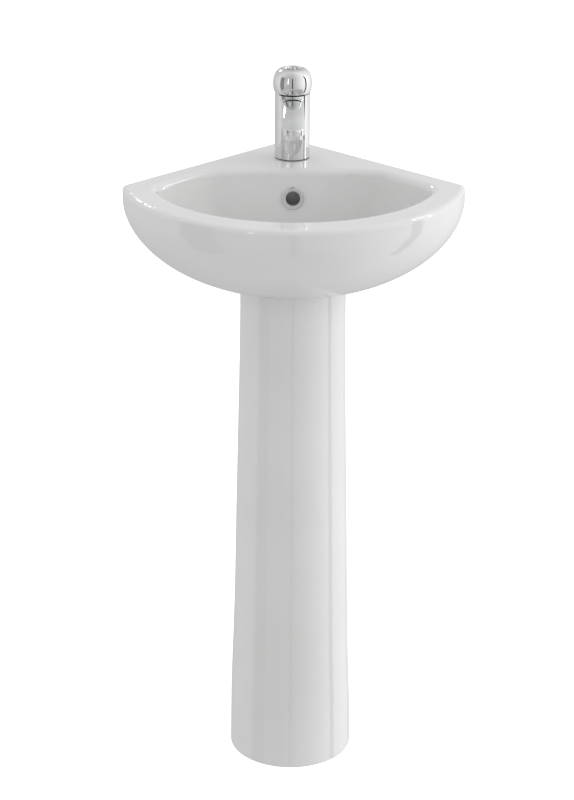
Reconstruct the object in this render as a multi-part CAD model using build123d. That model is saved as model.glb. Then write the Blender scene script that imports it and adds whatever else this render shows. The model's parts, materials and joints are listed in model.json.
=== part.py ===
from build123d import *
import math
import os

# Corner pedestal basin with a single-lever mixer tap, in millimetres.
# Z is up from the floor, the user stands at -Y and the corner of the room is at +Y.

# Driving dimensions: basin
RIM_HEIGHT = 850.0
BASIN_RADIUS = 229.0
BASIN_CENTRE_Y = 25.5
BASIN_BELLY = 130.0
BAND_HEIGHT = 18.0
CORNER_Y = 224.5
BACK_Y = 203.5
TIP_ROUND = 11.0
RIM_ROUND = 7.0
BOWL_ROUND = 10.0
SHELL = 12.0
DECK = 14.0

# Driving dimensions: bowl
BOWL_FRONT_RADIUS = 190.0
BOWL_FRONT_CENTRE_Y = 30.0
BOWL_BACK_Y = 66.0
BOWL_BACK_SLOPE = 0.12
BOWL_CORNER_Y = 176.0
BOWL_DEPTH = 126.0
BOWL_VERTICAL = 131.0
BOWL_POLE_Y = 5.0
BOWL_BLEND = 9.0
DRAIN_Y = 3.5
FIXING_Z = 818.0
FIXING_RADIUS = 7.0
FIXING_SPREAD = 35.0
OVERFLOW_DROP = 39.0
OVERFLOW_RADIUS = 11.5

# Driving dimensions: pedestal
PEDESTAL_Y = 16.0
PEDESTAL_DEPTH = 95.0
PEDESTAL_WALL = 11.0
PEDESTAL_FOOT = [(87.0, 0.0), (85.9, 59.0), (82.4, 150.0)]
PEDESTAL_SHAFT = [(78.9, 303.0), (75.4, 458.0), (72.6, 590.0), (72.0, 745.0)]
PEDESTAL_PROFILE = PEDESTAL_FOOT + PEDESTAL_SHAFT
SEAL_GAP = 2.5
SCREW_X = 60.0
SCREW_Y = 62.0
SCREW_RADIUS = 4.0

# Driving dimensions: tap
TAP_Y = 128.5
TAP_HOLE_RADIUS = 17.5
TAP_RADIUS = 24.05
TAP_FOOT = 1.5
PIVOT_RISE = 103.0
HEAD_RADIUS = 26.8
HEAD_SHELL = 3.0
SPOUT_WIDTH = 30.0
SPOUT_TIP = 98.0
SPOUT_CROWN = 6.0
SPOUT_NOSE_ROUND = 2.0
OUTLET_RISE = 55.0
TILT_TRAVEL = 2.85
LEVER_ARM = 21.8
LEVER_BALL = 3.0
POCKET_RADIUS = 3.06
POCKET_FLOOR = 927.6

# Driving dimensions: waste and trap
WASTE_RADIUS = 20.9
WASTE_BORE = 16.5
TRAP_RADIUS = 33.0
PIPE_RADIUS = 16.3
OUTLET_Z = 584.0

# Driving dimensions: supply
TAIL_RADIUS = 5.0
TAIL_X = 8.5
VALVE_X = 45.0
VALVE_Y = 95.0
VALVE_TOP = 602.0
SUPPLY_RADIUS = 7.55

DECK_Z = RIM_HEIGHT
PIVOT_Z = DECK_Z + PIVOT_RISE
FLOOR_Z = RIM_HEIGHT - BOWL_DEPTH


def rod(radius, low, high, x=0.0, y=0.0):
    """A vertical cylinder between two heights."""
    return Pos(x, y, (low + high) / 2) * Cylinder(radius, high - low)


def tube(outer, inner, low, high, x=0.0, y=0.0):
    """A vertical tube between two heights."""
    return rod(outer, low, high, x, y) - rod(inner, low - 1, high + 1, x, y)


def rod_y(radius, front, back, x, z):
    """A cylinder along Y between two places."""
    return Pos(x, (front + back) / 2, z) * Rot(90, 0, 0) * Cylinder(radius, back - front)


def rod_x(radius, half_length, y, z):
    """A cylinder along X, centred on the middle plane."""
    return Pos(0, y, z) * Rot(0, 90, 0) * Cylinder(radius, 2 * half_length)


def block(x0, x1, y0, y1, z0, z1):
    """A box given by its limits."""
    centre = Pos((x0 + x1) / 2, (y0 + y1) / 2, (z0 + z1) / 2)
    return centre * Box(x1 - x0, y1 - y0, z1 - z0)


def hexagon(flats, low, high, x=0.0, y=0.0):
    """A vertical hexagonal bar, given by its size across flats."""
    face = RegularPolygon(flats / 2, 6, major_radius=False)
    return Pos(x, y, low) * extrude(face, high - low)


def turned(points, y=0.0):
    """A body of revolution about a vertical axis, from (radius, height) points."""
    outline = Polyline([(r, 0, z) for r, z in points], close=True)
    return Pos(0, y, 0) * revolve(make_face(outline), Axis.Z, 360)


def side_plate(points, half_width):
    """A plate of even width in X, from (y, z) points."""
    outline = Polyline([(0, y, z) for y, z in points], close=True)
    return extrude(make_face(outline), half_width, dir=(1, 0, 0), both=True)


def write(name, shape):
    """Writes one node as its own file."""
    export_step(shape, f"parts/{name}.step")


# Basin


def belly(grow, top):
    """The round outer form of the basin, grown or shrunk by an even amount."""
    radius = BASIN_RADIUS + grow
    height = BASIN_BELLY + grow
    start = RIM_HEIGHT - BAND_HEIGHT
    bowl = EllipticalCenterArc((0, start), radius, height, start_angle=270, arc_size=90)
    rest = Polyline([(radius, start), (radius, top), (0, top), (0, start - height)])
    face = Plane.XZ * make_face(bowl + rest)
    return Pos(0, BASIN_CENTRE_Y, 0) * revolve(face, Axis.Z, 360)


def corner_prism(inset, low, high):
    """The space between the two walls of the corner, held off them by an even amount."""
    reach = CORNER_Y - inset * math.sqrt(2)
    back = BACK_Y - inset
    wide = reach + 300
    points = [(-wide, -300), (wide, -300), (reach - back, back), (back - reach, back)]
    outline = Polyline([(x, y, low) for x, y in points], close=True)
    return extrude(make_face(outline), high - low, dir=(0, 0, 1))


def outer_form():
    """The glazed outside of the basin before it is hollowed."""
    form = belly(0, RIM_HEIGHT) & corner_prism(0, 600, RIM_HEIGHT + 10)
    rim_z = RIM_HEIGHT - BAND_HEIGHT / 2
    tips = [e for e in form.edges() if abs(e.center().Z - rim_z) < 1 and abs(e.center().X) > 150]
    form = fillet(tips, TIP_ROUND)
    rim = form.faces().sort_by(Axis.Z)[-1].edges()
    return fillet(rim, RIM_ROUND)


def bowl_reach(angle, depth, grow):
    """Distance from the bowl's pole to its wall, blended between front, back and corner walls."""
    fall = depth / BOWL_DEPTH
    drift = (BOWL_FRONT_CENTRE_Y - DRAIN_Y) * max(fall, 0) ** 2
    centre = BOWL_FRONT_CENTRE_Y - drift - BOWL_POLE_Y
    radius = BOWL_FRONT_RADIUS * math.sqrt(1 - (depth / BOWL_VERTICAL) ** 2) + grow
    back = BOWL_BACK_Y - BOWL_BACK_SLOPE * depth - 22 * fall**6 - BOWL_POLE_Y + grow
    corner = BOWL_CORNER_Y - 0.25 * depth - 30 * fall**4 - BOWL_POLE_Y + grow * math.sqrt(2)
    sine = math.sin(angle)
    cosine = math.cos(angle)
    reaches = [centre * sine + math.sqrt(radius**2 - (centre * cosine) ** 2)]
    if sine > 0.05:
        reaches.append(back / sine)
    if abs(cosine) + sine > 0.05:
        reaches.append(corner / (abs(cosine) + sine))
    return -BOWL_BLEND * math.log(sum(math.exp(-reach / BOWL_BLEND) for reach in reaches))


def bowl_section(depth, grow, drop=0.0):
    """One level outline of the bowl as a closed smooth curve."""
    count = 88
    points = []
    for step in range(count):
        angle = -math.pi / 2 + 2 * math.pi * step / count
        reach = bowl_reach(angle, depth, grow)
        x = reach * math.cos(angle)
        y = BOWL_POLE_Y + reach * math.sin(angle)
        points.append((x, y, RIM_HEIGHT - depth - drop))
    return make_face(Spline(points, periodic=True))


def bowl_form(grow, drop, depths):
    """The bowl's hollow, or the thicker body around it when grown."""
    return loft([bowl_section(depth, grow, drop) for depth in depths])


def hollow_form():
    """The hollow under the deck and behind the rim, clear of the bowl, waste boss and duct."""
    hollow = belly(-SHELL, RIM_HEIGHT - DECK) & corner_prism(SHELL, 600, RIM_HEIGHT)
    hollow = hollow - bowl_form(SHELL, 0, [0, 30, 60, 85, 105, BOWL_DEPTH])
    hollow = hollow - rod(95, 600, FLOOR_Z + 8, y=20)
    return hollow - side_plate([(20, 690), (102, 690), (102, 850), (50, 850), (20, 760)], 25)


def overflow_place():
    """Where the overflow hole meets the bowl's back wall, square to that wall."""
    wall_y = BOWL_BACK_Y - BOWL_BACK_SLOPE * OVERFLOW_DROP
    tilt = math.degrees(math.atan(BOWL_BACK_SLOPE))
    return Pos(0, wall_y, RIM_HEIGHT - OVERFLOW_DROP) * Rot(-tilt, 0, 0)


def overflow_duct():
    """The waterway inside the china from the overflow hole down to the waste hole."""
    duct = side_plate(
        [(20, 702), (41, 702), (52, 713), (90, 721), (90, 824)]
        + [(76, 824), (76, 752), (58, 738), (36, 713), (20, 713)],
        14,
    )
    duct = duct + rod(29, 702, 713, y=DRAIN_Y)
    return duct + overflow_place() * rod_y(OVERFLOW_RADIUS, -12, 18, 0, 0)


def wall_cut(side, shape):
    """Turns a shape made on the origin to face one of the two walls, at the middle of that wall."""
    middle = CORNER_Y / 2
    return Pos(side * middle, middle, 0) * Rot(0, 0, side * -45) * shape


def basin():
    body = outer_form() + rod(40, 690, FLOOR_Z - 5, y=DRAIN_Y)
    body = body - bowl_form(0, 0, [0, 18, 40, 62, 84, 102, 116, BOWL_DEPTH])
    opening = [e for e in body.edges() if abs(e.center().Z - RIM_HEIGHT) < 0.1 and e.length > 700]
    opening = [e for e in opening if e.bounding_box().min.Y > -175]
    body = fillet(opening, BOWL_ROUND)
    body = body - hollow_form()
    body = body - overflow_duct()
    body = body - rod(TAP_HOLE_RADIUS, 820, 860, y=TAP_Y)
    body = body - rod(23, 680, 740, y=DRAIN_Y)
    body = body - rod(33, FLOOR_Z - 4, FLOOR_Z + 20, y=DRAIN_Y)
    body = body - block(-50, 50, 106, 215, 690, 778)
    for side in (-1, 1):
        window = Box(90, 44, 38)
        window = fillet(window.edges().filter_by(Axis.Y), 12)
        body = body - wall_cut(side, Pos(0, 0, 771) * window)
        for along in (-FIXING_SPREAD, FIXING_SPREAD):
            bolt_hole = Pos(along, 0, FIXING_Z) * Rot(90, 0, 0) * Cylinder(FIXING_RADIUS, 44)
            body = body - wall_cut(side, bolt_hole)
    return body


# Pedestal


def column(inset, low, high):
    """The pedestal's U form: round at the front, straight sides, shrunk by an even amount."""
    points = [(radius - inset, z) for radius, z in PEDESTAL_PROFILE]
    side = Spline([(r, z) for r, z in points])
    base, crown = points[0], points[-1]
    half = side + Polyline([crown, (0, crown[1]), (0, base[1]), base])
    face = Plane.XZ * make_face(half)
    front = revolve(face, Axis.Z, 360)
    side_face = face + mirror(face, Plane.YZ)
    sides = extrude(side_face, PEDESTAL_DEPTH, dir=(0, 1, 0))
    return Pos(0, PEDESTAL_Y, 0) * (front + sides) & block(-150, 150, -150, 150, low, high)


def pedestal():
    wall = column(0, 0, 745) - column(PEDESTAL_WALL, -1, 746)
    wall = wall - block(-59.5, 59.5, 60, 200, -1, 746)
    for side in (-1, 1):
        lug = block(SCREW_X - 12, SCREW_X + 18, SCREW_Y - 14, SCREW_Y + 14, 0, 16)
        lug = lug - rod(SCREW_RADIUS, -1, 17, SCREW_X, SCREW_Y)
        wall = wall + (lug if side > 0 else mirror(lug, Plane.YZ))
    return wall - belly(SEAL_GAP, RIM_HEIGHT)


def pedestal_seal():
    """The strip between the pedestal's top edge and the basin."""
    strip = column(1.5, 690, 744) - column(PEDESTAL_WALL - 1.5, 680, 746)
    strip = strip & block(-100, 100, -80, 104, 680, 750)
    return (strip & belly(SEAL_GAP - 0.05, RIM_HEIGHT)) - belly(0.05, RIM_HEIGHT + 1)


# Waste and overflow


def overflow_ring():
    """Chromed trim ring pushed into the overflow hole."""
    flange = rod_y(15.6, -2.5, -0.3, 0, 0)
    flange = fillet(flange.edges().sort_by(Axis.Y)[0], 1.6)
    sleeve = rod_y(OVERFLOW_RADIUS - 0.1, -0.5, 8, 0, 0)
    return overflow_place() * (flange + sleeve - rod_y(9.9, -10, 20, 0, 0))


def waste_body():
    shank = [(WASTE_BORE, 643), (WASTE_RADIUS, 643), (WASTE_RADIUS, 721)]
    flange = [(31.5, 721), (31.5, 722.4), (29, 724), (WASTE_BORE + 3, 724), (WASTE_BORE, 721)]
    body = turned(shank + flange, DRAIN_Y)
    for turn in (0, 90):
        slot = Pos(0, DRAIN_Y, 707.5) * Rot(0, 0, turn) * Box(14, 60, 9)
        body = body - slot
    return body


def waste_backnut():
    nut = hexagon(54, 676, 684.4, y=DRAIN_Y) - rod(WASTE_RADIUS + 0.1, 670, 690, y=DRAIN_Y)
    return nut


def plug_guide():
    """Cross bar inside the waste that carries the plug's stem."""
    guide = tube(6.0, 4.1, 688, 706, y=DRAIN_Y)
    for turn in (0, 60, 120):
        guide = guide + Pos(0, DRAIN_Y, 690) * Rot(0, 0, turn) * Box(2 * WASTE_BORE - 0.4, 2.5, 4)
    return guide - rod(4.1, 680, 710, y=DRAIN_Y)


def plug_cap():
    """Domed push plug with its stem, in the raised, open place."""
    cap = turned([(0, 734), (29, 734), (30, 735.2), (29, 737), (20, 739), (10, 740), (0, 740.2)], DRAIN_Y)
    cap = cap + rod(7.5, 729, 734.5, y=DRAIN_Y)
    return cap + rod(4.0, 684, 732, y=DRAIN_Y)


def plug_spring():
    coil = Helix(pitch=4.6, height=20.0, radius=5.6)
    wire = Plane(coil @ 0, z_dir=coil % 0) * Circle(0.5)
    spring = Pos(0, DRAIN_Y, 707.5) * sweep(wire, coil, is_frenet=True)
    return spring


# Trap


def ribbed_nut(outer, inner, low, high, count):
    """A plastic union nut with grip ribs."""
    nut = tube(outer, inner, low, high)
    for step in range(count):
        rib = Rot(0, 0, 360 * step / count) * Pos(outer, 0, (low + high) / 2) * Box(2.4, 3, high - low)
        nut = nut + rib
    return nut


def trap_inlet_nut():
    nut = ribbed_nut(26, WASTE_RADIUS + 0.15, 637, 660, 12)
    lip = tube(24, 16.2, 632, 637)
    return Pos(0, DRAIN_Y, 0) * (nut + lip)


def trap_body():
    body = tube(TRAP_RADIUS, 30, 560, 600, y=DRAIN_Y)
    body = body + rod(TRAP_RADIUS, 600, 604, y=DRAIN_Y)
    branch = rod_y(19, DRAIN_Y + 25, DRAIN_Y + 62, 0, OUTLET_Z)
    body = body + branch
    body = body - rod(30, 550, 600, y=DRAIN_Y)
    body = body - rod_y(14, DRAIN_Y, DRAIN_Y + 40, 0, OUTLET_Z)
    body = body - rod_y(PIPE_RADIUS, DRAIN_Y + 38, DRAIN_Y + 70, 0, OUTLET_Z)
    body = body + rod(16, 500, 637, y=DRAIN_Y) + rod(20, 637, 640, y=DRAIN_Y)
    return body - rod(14, 490, 650, y=DRAIN_Y)


def trap_bottle():
    outside = [(0, 486), (24, 486), (33, 496), (33, 549), (37, 551), (37, 563.5)]
    inside = [(33.2, 563.5), (33.2, 556), (30, 556), (30, 498), (22, 490), (0, 490)]
    cup = turned(outside + inside, DRAIN_Y)
    for step in range(16):
        rib = Rot(0, 0, 22.5 * step) * Pos(37, 0, 557.2) * Box(2, 3, 11)
        cup = cup + Pos(0, DRAIN_Y, 0) * rib
    return cup


def trap_outlet_nut():
    nut = ribbed_nut(23, 19.1, 0, 14, 10) + tube(21.5, PIPE_RADIUS + 0.2, -4, 0)
    return Pos(0, DRAIN_Y + 62.2, OUTLET_Z) * Rot(90, 0, 0) * Pos(0, 0, -2.3) * nut


# Tap


def spout_section(y, crown):
    """One upright slice of the spout: a rounded crown on straight sides."""
    half = SPOUT_WIDTH / 2
    base = DECK_Z + OUTLET_RISE - 20
    spring = crown - SPOUT_CROWN
    arch = EllipticalCenterArc((0, spring), half, SPOUT_CROWN, start_angle=0, arc_size=180)
    sides = Polyline([(-half, spring), (-half, base), (half, base), (half, spring)])
    slice_plane = Plane(origin=(0, y, 0), x_dir=(1, 0, 0), z_dir=(0, -1, 0))
    return slice_plane * make_face(arch + sides)


def spout():
    """The spout: a crowned section that falls to a round nose over the outlet."""
    root, tip = TAP_Y, TAP_Y - SPOUT_TIP
    low = DECK_Z + OUTLET_RISE
    back_crowns = [(root, 33.5), (root - 30, 32.0), (root - 55, 26.5)]
    nose_crowns = [(root - 76, 19.0), (root - 90, 12.0), (tip, 8.5)]
    body = loft([spout_section(y, low + rise) for y, rise in back_crowns + nose_crowns])
    top = low + 60
    underside = [(tip - 1, low), (tip + 31, low), (root - 25, low - 2), (root, low - 12)]
    body = body & side_plate(underside + [(root, top), (tip - 1, top)], SPOUT_WIDTH)
    nose = SPOUT_WIDTH / 2
    plan = rod(nose, low - 30, top, y=tip + nose)
    plan = plan + block(-nose - 1, nose + 1, tip + nose, root + 1, low - 30, top)
    body = body & plan
    edges = [e for e in body.edges() if e.center().Z > low + 3 and e.center().Y < tip + nose]
    return fillet(edges, SPOUT_NOSE_ROUND)


def tap_body():
    low = DECK_Z + TAP_FOOT
    body = rod(TAP_RADIUS, low, PIVOT_Z, y=TAP_Y) + spout()
    body = body - Pos(0, TAP_Y, PIVOT_Z) * Sphere(HEAD_RADIUS + 0.5)
    body = body - block(-40, 40, 0, 200, PIVOT_Z, PIVOT_Z + 30)
    body = body - rod(13, 893, 940, y=TAP_Y) - rod(15.5, 919, 940, y=TAP_Y)
    body = body - rod(19.5, low - 1, low + 5, y=TAP_Y)
    for side in (-1, 1):
        body = body - rod(TAIL_RADIUS + 0.15, low, 868, side * TAIL_X, TAP_Y - 3)
        body = body - rod(2.6, 860, 894, side * 7, TAP_Y - 3)
    body = body - rod(4.1, low, 872, 0, TAP_Y + 11)
    outlet_y = TAP_Y - SPOUT_TIP + SPOUT_WIDTH / 2
    body = body - rod_y(4, outlet_y, TAP_Y - 8, 0, 911)
    body = body - rod(11, 900, 911, y=outlet_y)
    return body


def aerator_housing():
    y = TAP_Y - SPOUT_TIP + SPOUT_WIDTH / 2
    z = DECK_Z + OUTLET_RISE
    ring = tube(12, 8.6, z - 6, z, y=y) + tube(10.85, 8.6, z - 1, z + 4.5, y=y)
    ring = ring + tube(9.5, 7.6, z - 6, z - 5, y=y)
    return ring


def aerator_insert():
    y = TAP_Y - SPOUT_TIP + SPOUT_WIDTH / 2
    z = DECK_Z + OUTLET_RISE
    insert = rod(8.5, z - 5, z + 4.5, y=y) - rod(7, z + 1, z + 6, y=y)
    for ring, count in ((0, 1), (2.4, 6), (4.9, 12)):
        for step in range(count):
            angle = 2 * math.pi * step / count
            hole = rod(0.7, z - 6, z + 2, ring * math.cos(angle), y + ring * math.sin(angle))
            insert = insert - hole
    return insert


def cartridge_base():
    base = rod(12.8, 893, 919, y=TAP_Y)
    for side in (-1, 1):
        base = base - rod(2.4, 892, 920, side * 7, TAP_Y - 3)
    port = rod(3, 908, 920, 0, TAP_Y + 5) + rod_y(3.5, TAP_Y - 14, TAP_Y + 5, 0, 911)
    return base - port


def fixed_disc():
    disc = rod(11.1, 919, 923, y=TAP_Y)
    for side in (-1, 1):
        disc = disc - rod(2.2, 918, 924, side * 6.5, TAP_Y - 3)
    return disc - rod(2.6, 918, 924, 0, TAP_Y + 5)


def moving_disc():
    """Sliding ceramic disc with its carrier and the pocket for the lever's ball."""
    y = TAP_Y + TILT_TRAVEL
    disc = rod(8.0, 923.06, 928, y=y) + block(-6, 6, y - 6, y + 6, 928, 933.6)
    disc = disc - rod(POCKET_RADIUS, POCKET_FLOOR, 934, y=y)
    return disc - block(-2, 2, y - 4, y + 4, 922, 925)


def cartridge_housing():
    housing = tube(15.2, 11.3, 919, 921.5, y=TAP_Y) + tube(12.8, 11.3, 921, 938, y=TAP_Y)
    return housing + tube(12.8, 10.0, 938, 942, y=TAP_Y)


def cartridge_rotor():
    rotor = rod(11.0, 934.2, 937.7, y=TAP_Y) + rod(9.93, 937, PIVOT_Z + 4, y=TAP_Y)
    for side in (-1, 1):
        cheek = block(6.3, 8.6, TAP_Y - 5, TAP_Y + 5, 928.4, 935)
        rotor = rotor + (cheek if side > 0 else mirror(cheek, Plane.YZ))
    rotor = rotor - block(-3.55, 3.55, TAP_Y - 7.5, TAP_Y + 7.5, 934, PIVOT_Z + 5)
    return rotor - rod_x(1.5, 15, TAP_Y, PIVOT_Z)


def lever_spindle():
    """Lever that hangs on the pivot pin, with a ball below and the knob's stem above."""
    drop = math.sqrt(LEVER_ARM**2 - TILT_TRAVEL**2)
    lean = math.degrees(math.asin(TILT_TRAVEL / LEVER_ARM))
    ball = Pos(0, TAP_Y + TILT_TRAVEL, PIVOT_Z - drop) * Sphere(LEVER_BALL)
    arm = Pos(0, TAP_Y, PIVOT_Z) * Rot(lean, 0, 0) * Pos(0, 0, -LEVER_ARM / 2) * Cylinder(2.4, LEVER_ARM)
    stem = rod(3.2, PIVOT_Z - 5, PIVOT_Z + 12, y=TAP_Y)
    return ball + arm + stem - rod_x(1.56, 15, TAP_Y, PIVOT_Z)


def cartridge_shroud():
    """Chromed cup under the knob that hides the cartridge."""
    centre = Pos(0, TAP_Y, PIVOT_Z)
    cup = centre * (Sphere(23.3) - Sphere(21.8))
    cup = cup & block(-40, 40, TAP_Y - 40, TAP_Y + 40, 935, PIVOT_Z + 1)
    cup = cup + tube(15, 12.9, 931.5, 936.5, y=TAP_Y)
    return cup - rod(12.9, 920, 945, y=TAP_Y)


def handle_cap():
    """Ball-shaped knob with a dished top."""
    z = PIVOT_Z
    rim_angle = math.asin(11 / HEAD_RADIUS)
    rim_low = (HEAD_RADIUS * math.cos(rim_angle), z - 11)
    rim_mid = (HEAD_RADIUS * math.cos(rim_angle / 2), z - HEAD_RADIUS * math.sin(rim_angle / 2))
    lower = ThreePointArc(rim_low, rim_mid, (HEAD_RADIUS, z))
    shoulder = [(HEAD_RADIUS, z), (26.2, z + 7), (24.0, z + 14), (19.6, z + 19.2), (13.2, z + 21.6)]
    upper = Spline(shoulder, tangents=[(0, 1), (-1, 0.12)])
    dish = Spline([(13.2, z + 21.6), (11.6, z + 20.6), (10.4, z + 16.5)], tangents=[(-1, -0.1), (-0.1, -1)])
    rest = Polyline([(10.4, z + 16.5), (10.4, z + 13.5), (0, z + 13.5), (0, z - 11), rim_low])
    outer = revolve(Plane.XZ * make_face(lower + upper + dish + rest), Axis.Z, 360)
    hollow = Pos(0, 0, z) * Sphere(HEAD_RADIUS - HEAD_SHELL) & block(-40, 40, -40, 40, z - 40, z + 10)
    knob = Pos(0, TAP_Y, 0) * (outer - hollow)
    knob = knob + rod(6.5, z + 6.5, z + 11, y=TAP_Y)
    knob = knob - rod(3.22, z, z + 12.2, y=TAP_Y)
    return knob - rod_y(1.6, TAP_Y, TAP_Y + 40, 0, z + 9)


def horseshoe(low, high):
    plate = rod(25, low, high, y=TAP_Y) & block(-30, 30, TAP_Y - 20, TAP_Y + 22, low, high)
    plate = plate - block(-14.5, 14.5, TAP_Y - 30, TAP_Y + 4, low - 1, high + 1)
    return plate - rod(4.3, low - 1, high + 1, 0, TAP_Y + 11)


def tail(side):
    """Rigid copper tail from the tap's base to its isolating valve."""
    route = [(side * TAIL_X, TAP_Y - 3, 866), (side * TAIL_X, TAP_Y - 3, 790), (side * 38, TAP_Y - 5, 705)]
    route = route + [(side * VALVE_X, VALVE_Y, 640), (side * VALVE_X, VALVE_Y, 592.2)]
    path = FilletPolyline(route, radius=28)
    ring = Plane(path @ 0, z_dir=path % 0)
    pipe = sweep(ring * Circle(TAIL_RADIUS), path)
    return pipe - sweep(ring * Circle(TAIL_RADIUS - 0.8), path)


def isolator_body(side):
    x = side * VALVE_X
    body = rod(10, 572, VALVE_TOP, x, VALVE_Y) + rod_y(8, VALVE_Y, VALVE_Y + 12, x, 588)
    body = body - rod(TAIL_RADIUS + 0.1, 592, 610, x, VALVE_Y)
    body = body - rod(SUPPLY_RADIUS, 560, 582, x, VALVE_Y)
    body = body - rod(2.5, 580, 594, x, VALVE_Y)
    return body - rod_y(4.5, VALVE_Y - 6, VALVE_Y + 14, x, 587)


def isolator_spindle(side):
    x = side * VALVE_X
    stem = rod_y(4.43, VALVE_Y - 5.7, VALVE_Y + 12.6, x, 587)
    stem = stem - rod(2.5, 580, 594, x, VALVE_Y)
    return stem - block(x - 5, x + 5, VALVE_Y + 11.2, VALVE_Y + 14, 586.4, 587.6)


def isolator_nut_top(side):
    x = side * VALVE_X
    nut = hexagon(24, 597, 609, x, VALVE_Y) - rod(10.05, 590, VALVE_TOP + 0.1, x, VALVE_Y)
    return nut - rod(TAIL_RADIUS + 0.2, 590, 620, x, VALVE_Y)


def isolator_nut_low(side):
    x = side * VALVE_X
    nut = hexagon(25, 566, 577, x, VALVE_Y) - rod(10.05, 571.9, 580, x, VALVE_Y)
    return nut - rod(SUPPLY_RADIUS + 0.2, 560, 580, x, VALVE_Y)


def write_china():
    write("basin", basin())
    write("pedestal", pedestal())
    write("pedestal_seal", pedestal_seal())


def write_waste():
    y = DRAIN_Y
    write("overflow_ring", overflow_ring())
    write("waste_body", waste_body())
    write("waste_top_washer", tube(30, 23.4, 720, 721, y=y))
    write("waste_lower_washer", tube(30, WASTE_RADIUS + 0.1, 686.5, 690, y=y))
    write("waste_slip_washer", tube(28, WASTE_RADIUS + 0.1, 684.5, 686.4, y=y))
    write("waste_backnut", waste_backnut())
    write("plug_guide", plug_guide())
    write("plug_cap", plug_cap())
    write("plug_seal", tube(27, 7.6, 732.1, 734, y=y))
    write("plug_spring", plug_spring())
    write("trap_inlet_nut", trap_inlet_nut())
    write("trap_inlet_washer", tube(20.6, 14.5, 640, 643, y=y))
    write("trap_body", trap_body())
    write("trap_bottle", trap_bottle())
    write("trap_bottle_seal", tube(33, 30.1, 556.1, 559.9, y=y))
    write("trap_outlet_nut", trap_outlet_nut())


def write_tap():
    y = TAP_Y
    outlet_y = TAP_Y - SPOUT_TIP + SPOUT_WIDTH / 2
    write("tap_body", tap_body())
    write("tap_base_seal", tube(23, 18, DECK_Z, DECK_Z + TAP_FOOT, y=y))
    write("aerator_housing", aerator_housing())
    write("aerator_insert", aerator_insert())
    write("aerator_washer", tube(10.7, 8, 909.6, 910.9, y=outlet_y))
    write("cartridge_base", cartridge_base())
    write("fixed_disc", fixed_disc())
    write("moving_disc", moving_disc())
    write("cartridge_housing", cartridge_housing())
    write("cartridge_nut", tube(15.4, 12.9, 921.6, 929.8, y=y))
    write("cartridge_rotor", cartridge_rotor())
    write("cartridge_shroud", cartridge_shroud())
    write("pivot_pin", rod_x(1.49, 9.0, y, PIVOT_Z))
    write("lever_spindle", lever_spindle())
    write("handle_cap", handle_cap())
    write("handle_grub_screw", rod_y(1.5, y + 3.25, y + 6.3, 0, PIVOT_Z + 9))
    write("index_cap", rod(10.3, PIVOT_Z + 13.5, PIVOT_Z + 15.5, y=y))
    write("tap_stud", rod(4.0, 800, 870, 0, y + 11))
    write("horseshoe_rubber", horseshoe(833, 836))
    write("horseshoe_plate", horseshoe(830.4, 832.9))
    write("stud_nut", hexagon(13, 822, 830.3, 0, y + 11) - rod(4.1, 820, 832, 0, y + 11))


def write_supply():
    for side, name in ((-1, "hot"), (1, "cold")):
        write(f"tail_{name}", tail(side))
        write(f"isolator_body_{name}", isolator_body(side))
        write(f"isolator_spindle_{name}", isolator_spindle(side))
        write(f"isolator_nut_top_{name}", isolator_nut_top(side))
        write(f"isolator_nut_low_{name}", isolator_nut_low(side))


os.makedirs("parts", exist_ok=True)
write_china()
write_waste()
write_tap()
write_supply()
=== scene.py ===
import bpy
import json
import math
from mathutils import Matrix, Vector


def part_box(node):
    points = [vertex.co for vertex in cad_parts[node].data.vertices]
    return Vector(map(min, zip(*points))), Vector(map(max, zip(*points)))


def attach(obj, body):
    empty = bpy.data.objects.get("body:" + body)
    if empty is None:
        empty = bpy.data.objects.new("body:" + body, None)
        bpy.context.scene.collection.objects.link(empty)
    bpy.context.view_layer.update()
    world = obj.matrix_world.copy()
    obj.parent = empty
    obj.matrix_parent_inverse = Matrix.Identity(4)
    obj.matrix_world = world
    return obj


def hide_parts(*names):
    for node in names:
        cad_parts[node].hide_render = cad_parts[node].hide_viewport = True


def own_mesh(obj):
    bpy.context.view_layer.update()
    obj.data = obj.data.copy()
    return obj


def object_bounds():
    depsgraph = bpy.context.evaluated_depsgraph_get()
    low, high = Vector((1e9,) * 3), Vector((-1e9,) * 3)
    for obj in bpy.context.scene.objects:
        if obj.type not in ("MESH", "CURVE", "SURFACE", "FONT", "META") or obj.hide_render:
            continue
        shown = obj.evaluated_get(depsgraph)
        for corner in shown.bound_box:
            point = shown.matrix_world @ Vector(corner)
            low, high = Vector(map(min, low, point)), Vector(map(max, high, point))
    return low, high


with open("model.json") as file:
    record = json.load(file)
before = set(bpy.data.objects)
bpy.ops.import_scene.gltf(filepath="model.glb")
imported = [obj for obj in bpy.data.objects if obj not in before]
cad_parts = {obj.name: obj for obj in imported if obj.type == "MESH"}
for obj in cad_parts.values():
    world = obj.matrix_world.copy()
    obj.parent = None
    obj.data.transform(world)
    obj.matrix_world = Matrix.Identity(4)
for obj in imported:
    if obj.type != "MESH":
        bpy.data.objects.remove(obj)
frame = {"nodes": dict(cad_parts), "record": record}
CAD_BOX = [list(corner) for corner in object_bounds()]

NODES = frame["nodes"]
RECORD = frame["record"]
RIM_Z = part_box("basin")[1][2]
FLOOR_Z = CAD_BOX[0][2]

# Camera, in metres and degrees: a long lens, a little to the left, that looks down over the rim
CAMERA_REACH = 2.8815
CAMERA_HEIGHT = 1.7206
CAMERA_ORBIT = 1.3
CAMERA_PITCH = 22.265
CAMERA_ROLL = 0.38
CAMERA_LENS = 101.94
CAMERA_SENSOR = 36.0
CAMERA_SHIFT_X = -0.0070

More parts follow.
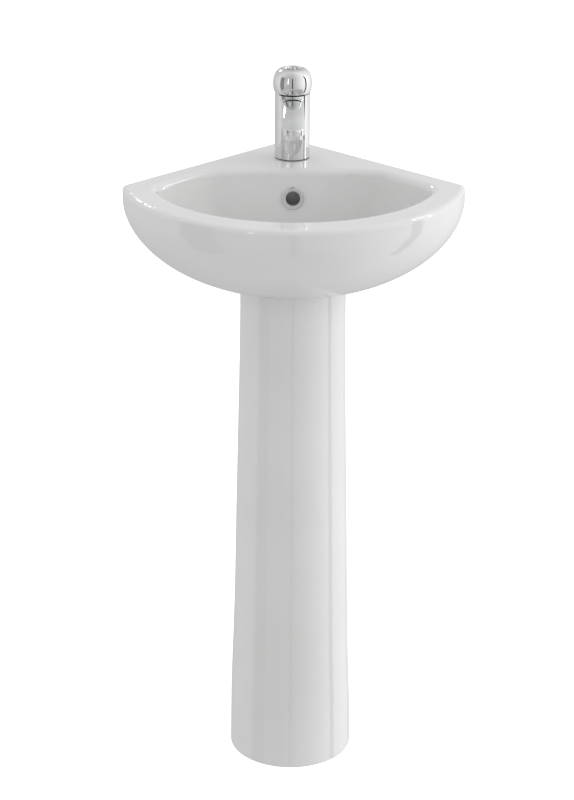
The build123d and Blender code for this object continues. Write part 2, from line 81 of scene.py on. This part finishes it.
# Light from all round: its level, and what it gains towards each side of the room
LIGHT_LEVEL = 1.05
LIGHT_GAINS = [
    ("X", 1, 0.478),
    ("X", -1, -0.013),
    ("Y", 1, -0.349),
    ("Y", -1, -0.421),
    ("Z", 1, -0.158),
    ("Z", -1, -0.33),
]

# Lamps, which all point at the bowl: name, place, width, height, power
LAMPS = [
    ("strip_right", (2.4, 0.35, 1.75), 0.22, 1.5, 5.5),
    ("window_left", (-1.15, 2.0, 2.35), 0.7, 0.5, 5.5),
    ("strip_left", (-1.2, -2.2, 1.55), 0.12, 1.3, 1.6),
]

# Dark cards: name, place, width, height, darkest grey; the lightest is so many times that
CARDS = [
    ("camera_stand", (-0.065, -3.3, 0.4), 0.32, 5.0, 0.012),
    ("drape_left", (-2.9, -1.3, 0.4), 1.5, 5.0, 0.26),
    ("drape_right", (2.8, -0.2, 0.4), 0.5, 5.0, 0.05),
]
CARD_MOTTLE = 1.3

FLOOR_SIZE = 14
FLOOR_GREYS = ((0.86, 0.86, 0.86), (0.90, 0.90, 0.90))
FLOOR_GLOW = 0.62

# China: darkest and lightest colour, then least and most roughness, of the glaze and the bare clay
GLAZE_COLOURS = ((0.745, 0.745, 0.740), (0.775, 0.775, 0.772))
GLAZE_ROUGHNESS = (0.055, 0.10)
GLAZE_IOR = 1.52
GLAZE_COAT = 0.25
GLAZE_COAT_ROUGHNESS = 0.04
CLAY_COLOURS = ((0.60, 0.575, 0.53), (0.70, 0.68, 0.635))
CLAY_ROUGHNESS = (0.68, 0.82)

# The clay is bare where |x| + y is past the wall faces or z is below the foot, give or take a wander
WALL_REACH = 0.2240
FOOT_TOP = 0.0016
EDGE_WANDER = 0.0012

# Plated finishes: darkest and lightest colour, least and most roughness, strength of the ripple
PLATINGS = {
    "polished_chrome": ((0.655, 0.66, 0.665), (0.70, 0.702, 0.705), 0.012, 0.04, 0.02),
    # A dark plating for the index cap: painted shade standing in for the shade in the knob's dish
    "painted_shade_chrome": ((0.16, 0.16, 0.165), (0.21, 0.21, 0.215), 0.05, 0.12, 0.03),
    "plated_brass": ((0.66, 0.66, 0.65), (0.76, 0.76, 0.75), 0.16, 0.28, 0.08),
}

# Bare metals: colours and roughness as above, then the scale and the stretch of the marks
METALS = {
    "bare_brass": ((0.70, 0.52, 0.24), (0.80, 0.63, 0.32), 0.22, 0.36, 500.0, (1, 1, 4)),
    "copper": ((0.66, 0.33, 0.21), (0.83, 0.47, 0.33), 0.24, 0.42, 300.0, (4, 4, 0.3)),
    "plain_steel": ((0.52, 0.53, 0.54), (0.66, 0.67, 0.68), 0.28, 0.42, 600.0, (1, 1, 3)),
}

# Rubber, plastics and ceramic: colours and roughness as above, then scale and depth of the grain
MOULDINGS = {
    "grey_rubber": ((0.030, 0.030, 0.032), (0.055, 0.055, 0.058), 0.62, 0.80, 900.0, 0.0001),
    "white_plastic": ((0.74, 0.74, 0.72), (0.80, 0.80, 0.785), 0.26, 0.38, 420.0, 0.0001),
    "grey_plastic": ((0.28, 0.30, 0.33), (0.36, 0.38, 0.41), 0.42, 0.56, 520.0, 0.0001),
    "disc_ceramic": ((0.80, 0.79, 0.75), (0.86, 0.855, 0.82), 0.12, 0.20, 700.0, 0.00005),
}

# The part of the noise that a colour ramp and a range of numbers are spread over
RAMP_SPAN = (0.35, 0.65)
RANGE_SPAN = (0.3, 0.7)

# The plug's return spring, in metres: its axis, the radii of its coils and its wire, and its ends
SPRING_PLACE = (0.0, 0.0035)
SPRING_RADIUS = 0.0056
SPRING_WIRE = 0.0005
SPRING_LOW = 0.7075
SPRING_HIGH = 0.7275
SPRING_TURNS = 6
SPRING_STEPS = 32
WIRE_SIDES = 12
# How strongly the coils close up towards the ends
SPRING_CLOSED = 0.68


# Node helpers


def new_material(name):
    material = bpy.data.materials.new(name)
    material.use_nodes = True
    tree = material.node_tree
    return material, tree, tree.nodes["Principled BSDF"]


def noise(tree, scale, detail=3.0, stretch=(1.0, 1.0, 1.0)):
    """Noise in the object's own metres, finer along an axis with a larger stretch."""
    place = tree.nodes.new("ShaderNodeTexCoord")
    spread = tree.nodes.new("ShaderNodeMapping")
    spread.inputs["Scale"].default_value = stretch
    texture = tree.nodes.new("ShaderNodeTexNoise")
    texture.inputs["Scale"].default_value = scale
    texture.inputs["Detail"].default_value = detail
    tree.links.new(place.outputs["Object"], spread.inputs["Vector"])
    tree.links.new(spread.outputs["Vector"], texture.inputs["Vector"])
    return texture.outputs["Fac"]


def ramp(tree, factor, low, high):
    """A colour that runs from low to high as the factor rises."""
    node = tree.nodes.new("ShaderNodeValToRGB")
    for stop, place, colour in zip(node.color_ramp.elements, RAMP_SPAN, (low, high)):
        stop.position = place
        stop.color = (*colour, 1)
    tree.links.new(factor, node.inputs["Fac"])
    return node.outputs["Color"]


def spread_value(tree, factor, low, high):
    """A number that runs from low to high as the factor rises."""
    node = tree.nodes.new("ShaderNodeMapRange")
    node.inputs["From Min"].default_value = RANGE_SPAN[0]
    node.inputs["From Max"].default_value = RANGE_SPAN[1]
    node.inputs["To Min"].default_value = low
    node.inputs["To Max"].default_value = high
    tree.links.new(factor, node.inputs["Value"])
    return node.outputs["Result"]


def bump(tree, shader, height, strength, distance):
    node = tree.nodes.new("ShaderNodeBump")
    node.inputs["Strength"].default_value = strength
    node.inputs["Distance"].default_value = distance
    tree.links.new(height, node.inputs["Height"])
    tree.links.new(node.outputs["Normal"], shader.inputs["Normal"])


def arithmetic(tree, kind, first, second):
    """One math node; each input is a number or a socket."""
    node = tree.nodes.new("ShaderNodeMath")
    node.operation = kind
    for socket, value in zip(node.inputs, (first, second)):
        if isinstance(value, (int, float)):
            socket.default_value = value
        else:
            tree.links.new(value, socket)
    return node.outputs["Value"]


def blend(tree, mask, under, over, kind):
    """Two colours (kind RGBA) or two numbers (kind FLOAT) mixed by a mask."""
    node = tree.nodes.new("ShaderNodeMix")
    node.data_type = kind
    tree.links.new(mask, node.inputs["Factor"])
    tree.links.new(under, node.inputs["A"])
    tree.links.new(over, node.inputs["B"])
    return node.outputs["Result"]


# Materials


def bare_china_mask(tree):
    """One where the clay is unglazed: on the ground foot and the two faces against the walls."""
    place = tree.nodes.new("ShaderNodeTexCoord")
    axes = tree.nodes.new("ShaderNodeSeparateXYZ")
    tree.links.new(place.outputs["Object"], axes.inputs["Vector"])
    side = arithmetic(tree, "ABSOLUTE", axes.outputs["X"], 0.0)
    reach = arithmetic(tree, "ADD", side, axes.outputs["Y"])
    edge = arithmetic(tree, "MULTIPLY", noise(tree, scale=60.0), EDGE_WANDER)
    back = arithmetic(tree, "ADD", reach, edge)
    height = arithmetic(tree, "ADD", axes.outputs["Z"], edge)
    wall = arithmetic(tree, "GREATER_THAN", back, WALL_REACH)
    foot = arithmetic(tree, "LESS_THAN", height, FOOT_TOP)
    return arithmetic(tree, "MAXIMUM", wall, foot)


def china():
    """White vitreous china: a thick clear glaze over a faintly uneven white body."""
    material, tree, shader = new_material("white_china")
    glaze = ramp(tree, noise(tree, scale=7.0, detail=2.0), *GLAZE_COLOURS)
    clay = ramp(tree, noise(tree, scale=260.0, detail=6.0), *CLAY_COLOURS)
    gloss = spread_value(tree, noise(tree, scale=24.0, detail=4.0), *GLAZE_ROUGHNESS)
    matt = spread_value(tree, noise(tree, scale=300.0), *CLAY_ROUGHNESS)
    mask = bare_china_mask(tree)
    tree.links.new(blend(tree, mask, glaze, clay, "RGBA"), shader.inputs["Base Color"])
    tree.links.new(blend(tree, mask, gloss, matt, "FLOAT"), shader.inputs["Roughness"])
    shader.inputs["IOR"].default_value = GLAZE_IOR
    shader.inputs["Coat Weight"].default_value = GLAZE_COAT
    shader.inputs["Coat Roughness"].default_value = GLAZE_COAT_ROUGHNESS
    bump(tree, shader, noise(tree, scale=45.0, detail=1.0), strength=0.10, distance=0.0004)
    return material


def chrome(name, low, high, polish_low, polish_high, ripple):
    """Plated brass: mirror metal with faint polishing marks and water haze."""
    material, tree, shader = new_material(name)
    shader.inputs["Metallic"].default_value = 1.0
    haze = noise(tree, scale=55.0, detail=4.0)
    marks = noise(tree, scale=140.0, detail=5.0)
    tree.links.new(ramp(tree, haze, low, high), shader.inputs["Base Color"])
    polish = spread_value(tree, marks, polish_low, polish_high)
    tree.links.new(polish, shader.inputs["Roughness"])
    bump(tree, shader, noise(tree, scale=180.0, detail=2.0), strength=ripple, distance=0.0002)
    return material


def metal(name, low, high, rough_low, rough_high, scale, stretch):
    """Bare metal with turning or drawing marks, finer along an axis with a larger stretch."""
    material, tree, shader = new_material(name)
    shader.inputs["Metallic"].default_value = 1.0
    tarnish = noise(tree, scale=80.0, detail=4.0)
    marks = noise(tree, scale, 5.0, stretch)
    tree.links.new(ramp(tree, tarnish, low, high), shader.inputs["Base Color"])
    tree.links.new(spread_value(tree, marks, rough_low, rough_high), shader.inputs["Roughness"])
    bump(tree, shader, marks, strength=0.25, distance=0.0001)
    return material


def moulded(name, low, high, rough_low, rough_high, grain, depth):
    """Plastic, rubber or lapped ceramic: soft mottling, uneven sheen and a fine surface grain."""
    material, tree, shader = new_material(name)
    mottling = noise(tree, scale=40.0, detail=4.0)
    sheen = noise(tree, scale=120.0, detail=3.0)
    tree.links.new(ramp(tree, mottling, low, high), shader.inputs["Base Color"])
    tree.links.new(spread_value(tree, sheen, rough_low, rough_high), shader.inputs["Roughness"])
    bump(tree, shader, noise(tree, grain, detail=2.0), strength=0.2, distance=depth)
    return material


def all_materials():
    """One material for each slot named in the record, and a dark plating that paints shade onto the
    index cap in the knob's dish.
    """
    made = {"white_china": china()}
    for finish, table in ((chrome, PLATINGS), (metal, METALS), (moulded, MOULDINGS)):
        for name, values in table.items():
            made[name] = finish(name, *values)
    return made


def dress_nodes(materials):
    """Gives every carried-over part the material of its slot, and the index cap a dark plating that
    is painted shade for the knob's dish.
    """
    for part in RECORD["subparts"]:
        # The index cap is made dark: painted shade in the knob's dish
        finish = "painted_shade_chrome" if part["node"] == "index_cap" else part["material_slot"]
        for place in NODES[part["node"]].material_slots:
            place.material = materials[finish]


# Pieces in mesh code


def spring_ring(index, count):
    """One ring of points around the wire; the coils close up towards both ends."""
    share = index / (count - 1)
    turn = 2 * math.pi * index / SPRING_STEPS
    rise = share - SPRING_CLOSED * math.sin(2 * math.pi * share) / (2 * math.pi)
    middle = SPRING_LOW + (SPRING_HIGH - SPRING_LOW) * rise
    ring = []
    for side in range(WIRE_SIDES):
        around = 2 * math.pi * side / WIRE_SIDES
        reach = SPRING_RADIUS + SPRING_WIRE * math.cos(around)
        x = SPRING_PLACE[0] + reach * math.cos(turn)
        y = SPRING_PLACE[1] + reach * math.sin(turn)
        ring.append((x, y, middle + SPRING_WIRE * math.sin(around)))
    return ring


def spring_faces(rings):
    """The faces between the rings, after one at each end of the wire."""
    points = rings * WIRE_SIDES
    faces = [tuple(range(WIRE_SIDES)), tuple(reversed(range(points - WIRE_SIDES, points)))]
    for start in range(0, points - WIRE_SIDES, WIRE_SIDES):
        above = start + WIRE_SIDES
        for side in range(WIRE_SIDES):
            beside = (side + 1) % WIRE_SIDES
            faces.append((start + side, above + side, above + beside, start + beside))
    return faces


def coil_spring(steel):
    """The plug's return spring, with closed end coils."""
    count = SPRING_TURNS * SPRING_STEPS + 1
    points = [point for index in range(count) for point in spring_ring(index, count)]
    mesh = bpy.data.meshes.new("coil_spring")
    mesh.from_pydata(points, [], spring_faces(count))
    mesh.polygons.foreach_set("use_smooth", [True] * len(mesh.polygons))
    mesh.materials.append(steel)
    mesh.update()
    spring = bpy.data.objects.new("coil_spring", mesh)
    bpy.context.collection.objects.link(spring)
    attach(spring, "stand")
    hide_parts("plug_spring")
    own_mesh(spring)


# Studio


def floor():
    """A plain pale floor, with only the softest shade where the object meets it."""
    bpy.ops.mesh.primitive_plane_add(size=FLOOR_SIZE, location=(0, 0, FLOOR_Z))
    ground = bpy.context.object
    ground.name = "floor"
    material, tree, shader = new_material("pale_floor")
    greys = ramp(tree, noise(tree, scale=3.0), *FLOOR_GREYS)
    tree.links.new(greys, shader.inputs["Base Color"])
    shader.inputs["Roughness"].default_value = 0.9
    shader.inputs["Specular IOR Level"].default_value = 0.0
    shader.inputs["Emission Color"].default_value = (1, 1, 1, 1)
    shader.inputs["Emission Strength"].default_value = FLOOR_GLOW
    ground.data.materials.append(material)
    ground.visible_diffuse = False
    ground.visible_glossy = False


def room():
    """A pale room, brightest on the right; the camera itself sees plain white in its place."""
    world = bpy.data.worlds.new("studio")
    bpy.context.scene.world = world
    world.use_nodes = True
    tree = world.node_tree
    place = tree.nodes.new("ShaderNodeTexCoord")
    axes = tree.nodes.new("ShaderNodeSeparateXYZ")
    tree.links.new(place.outputs["Generated"], axes.inputs["Vector"])
    level = LIGHT_LEVEL
    for axis, side, gain in LIGHT_GAINS:
        towards = arithmetic(tree, "MULTIPLY", axes.outputs[axis], side)
        facing = arithmetic(tree, "MAXIMUM", towards, 0.0)
        level = arithmetic(tree, "ADD", arithmetic(tree, "MULTIPLY", facing, gain), level)
    wall = tree.nodes["Background"]
    tree.links.new(level, wall.inputs["Color"])
    backdrop = tree.nodes.new("ShaderNodeBackground")
    backdrop.inputs["Color"].default_value = (1, 1, 1, 1)
    ray = tree.nodes.new("ShaderNodeLightPath")
    seen = tree.nodes.new("ShaderNodeMixShader")
    tree.links.new(ray.outputs["Is Camera Ray"], seen.inputs["Fac"])
    tree.links.new(wall.outputs["Background"], seen.inputs[1])
    tree.links.new(backdrop.outputs["Background"], seen.inputs[2])
    tree.links.new(seen.outputs["Shader"], tree.nodes["World Output"].inputs["Surface"])


def softbox(name, place, aim, width, height, power):
    """One rectangular lamp that points at a place on the object."""
    data = bpy.data.lights.new(name, "AREA")
    data.shape = "RECTANGLE"
    data.size = width
    data.size_y = height
    data.energy = power
    lamp = bpy.data.objects.new(name, data)
    bpy.context.collection.objects.link(lamp)
    lamp.location = place
    direction = [a - b for a, b in zip(aim, place)]
    flat = math.hypot(direction[0], direction[1])
    tilt = math.atan2(flat, -direction[2])
    lamp.rotation_euler = (tilt, 0, math.atan2(-direction[0], direction[1]))


def dark_card(name, place, width, height, grey):
    """A dark upright card that faces the object and only shows in reflections."""
    turn = (math.radians(90), 0, math.atan2(-place[0], place[1]))
    bpy.ops.mesh.primitive_plane_add(size=1, location=place, rotation=turn)
    card = bpy.context.object
    card.name = name
    card.scale = (width, height, 1)
    material, tree, shader = new_material(name)
    greys = ramp(tree, noise(tree, scale=6.0), (grey,) * 3, (grey * CARD_MOTTLE,) * 3)
    tree.links.new(greys, shader.inputs["Base Color"])
    shader.inputs["Roughness"].default_value = 1.0
    card.data.materials.append(material)
    card.visible_camera = False
    card.visible_diffuse = False
    card.visible_shadow = False


def lights():
    """The lamps, and the dark cards that the chrome and the glaze reflect."""
    bowl = (0.0, 0.0, RIM_Z)
    for name, place, width, height, power in LAMPS:
        softbox(name, place, bowl, width, height, power)
    for name, place, width, height, grey in CARDS:
        dark_card(name, place, width, height, grey)


def camera():
    data = bpy.data.cameras.new("camera")
    data.lens = CAMERA_LENS
    data.sensor_width = CAMERA_SENSOR
    data.shift_x = CAMERA_SHIFT_X
    view = bpy.data.objects.new("camera", data)
    bpy.context.collection.objects.link(view)
    yaw = Matrix.Rotation(math.radians(-CAMERA_ORBIT), 4, "Z")
    pitch = Matrix.Rotation(math.radians(90 - CAMERA_PITCH), 4, "X")
    roll = Matrix.Rotation(math.radians(CAMERA_ROLL), 4, "Z")
    stand = Matrix.Translation((0, -CAMERA_REACH, CAMERA_HEIGHT))
    view.matrix_world = yaw @ stand @ pitch @ roll
    bpy.context.scene.camera = view


MATERIALS = all_materials()
dress_nodes(MATERIALS)
coil_spring(MATERIALS["plain_steel"])
floor()
room()
lights()
camera()
bpy.context.scene.view_settings.view_transform = "Standard"
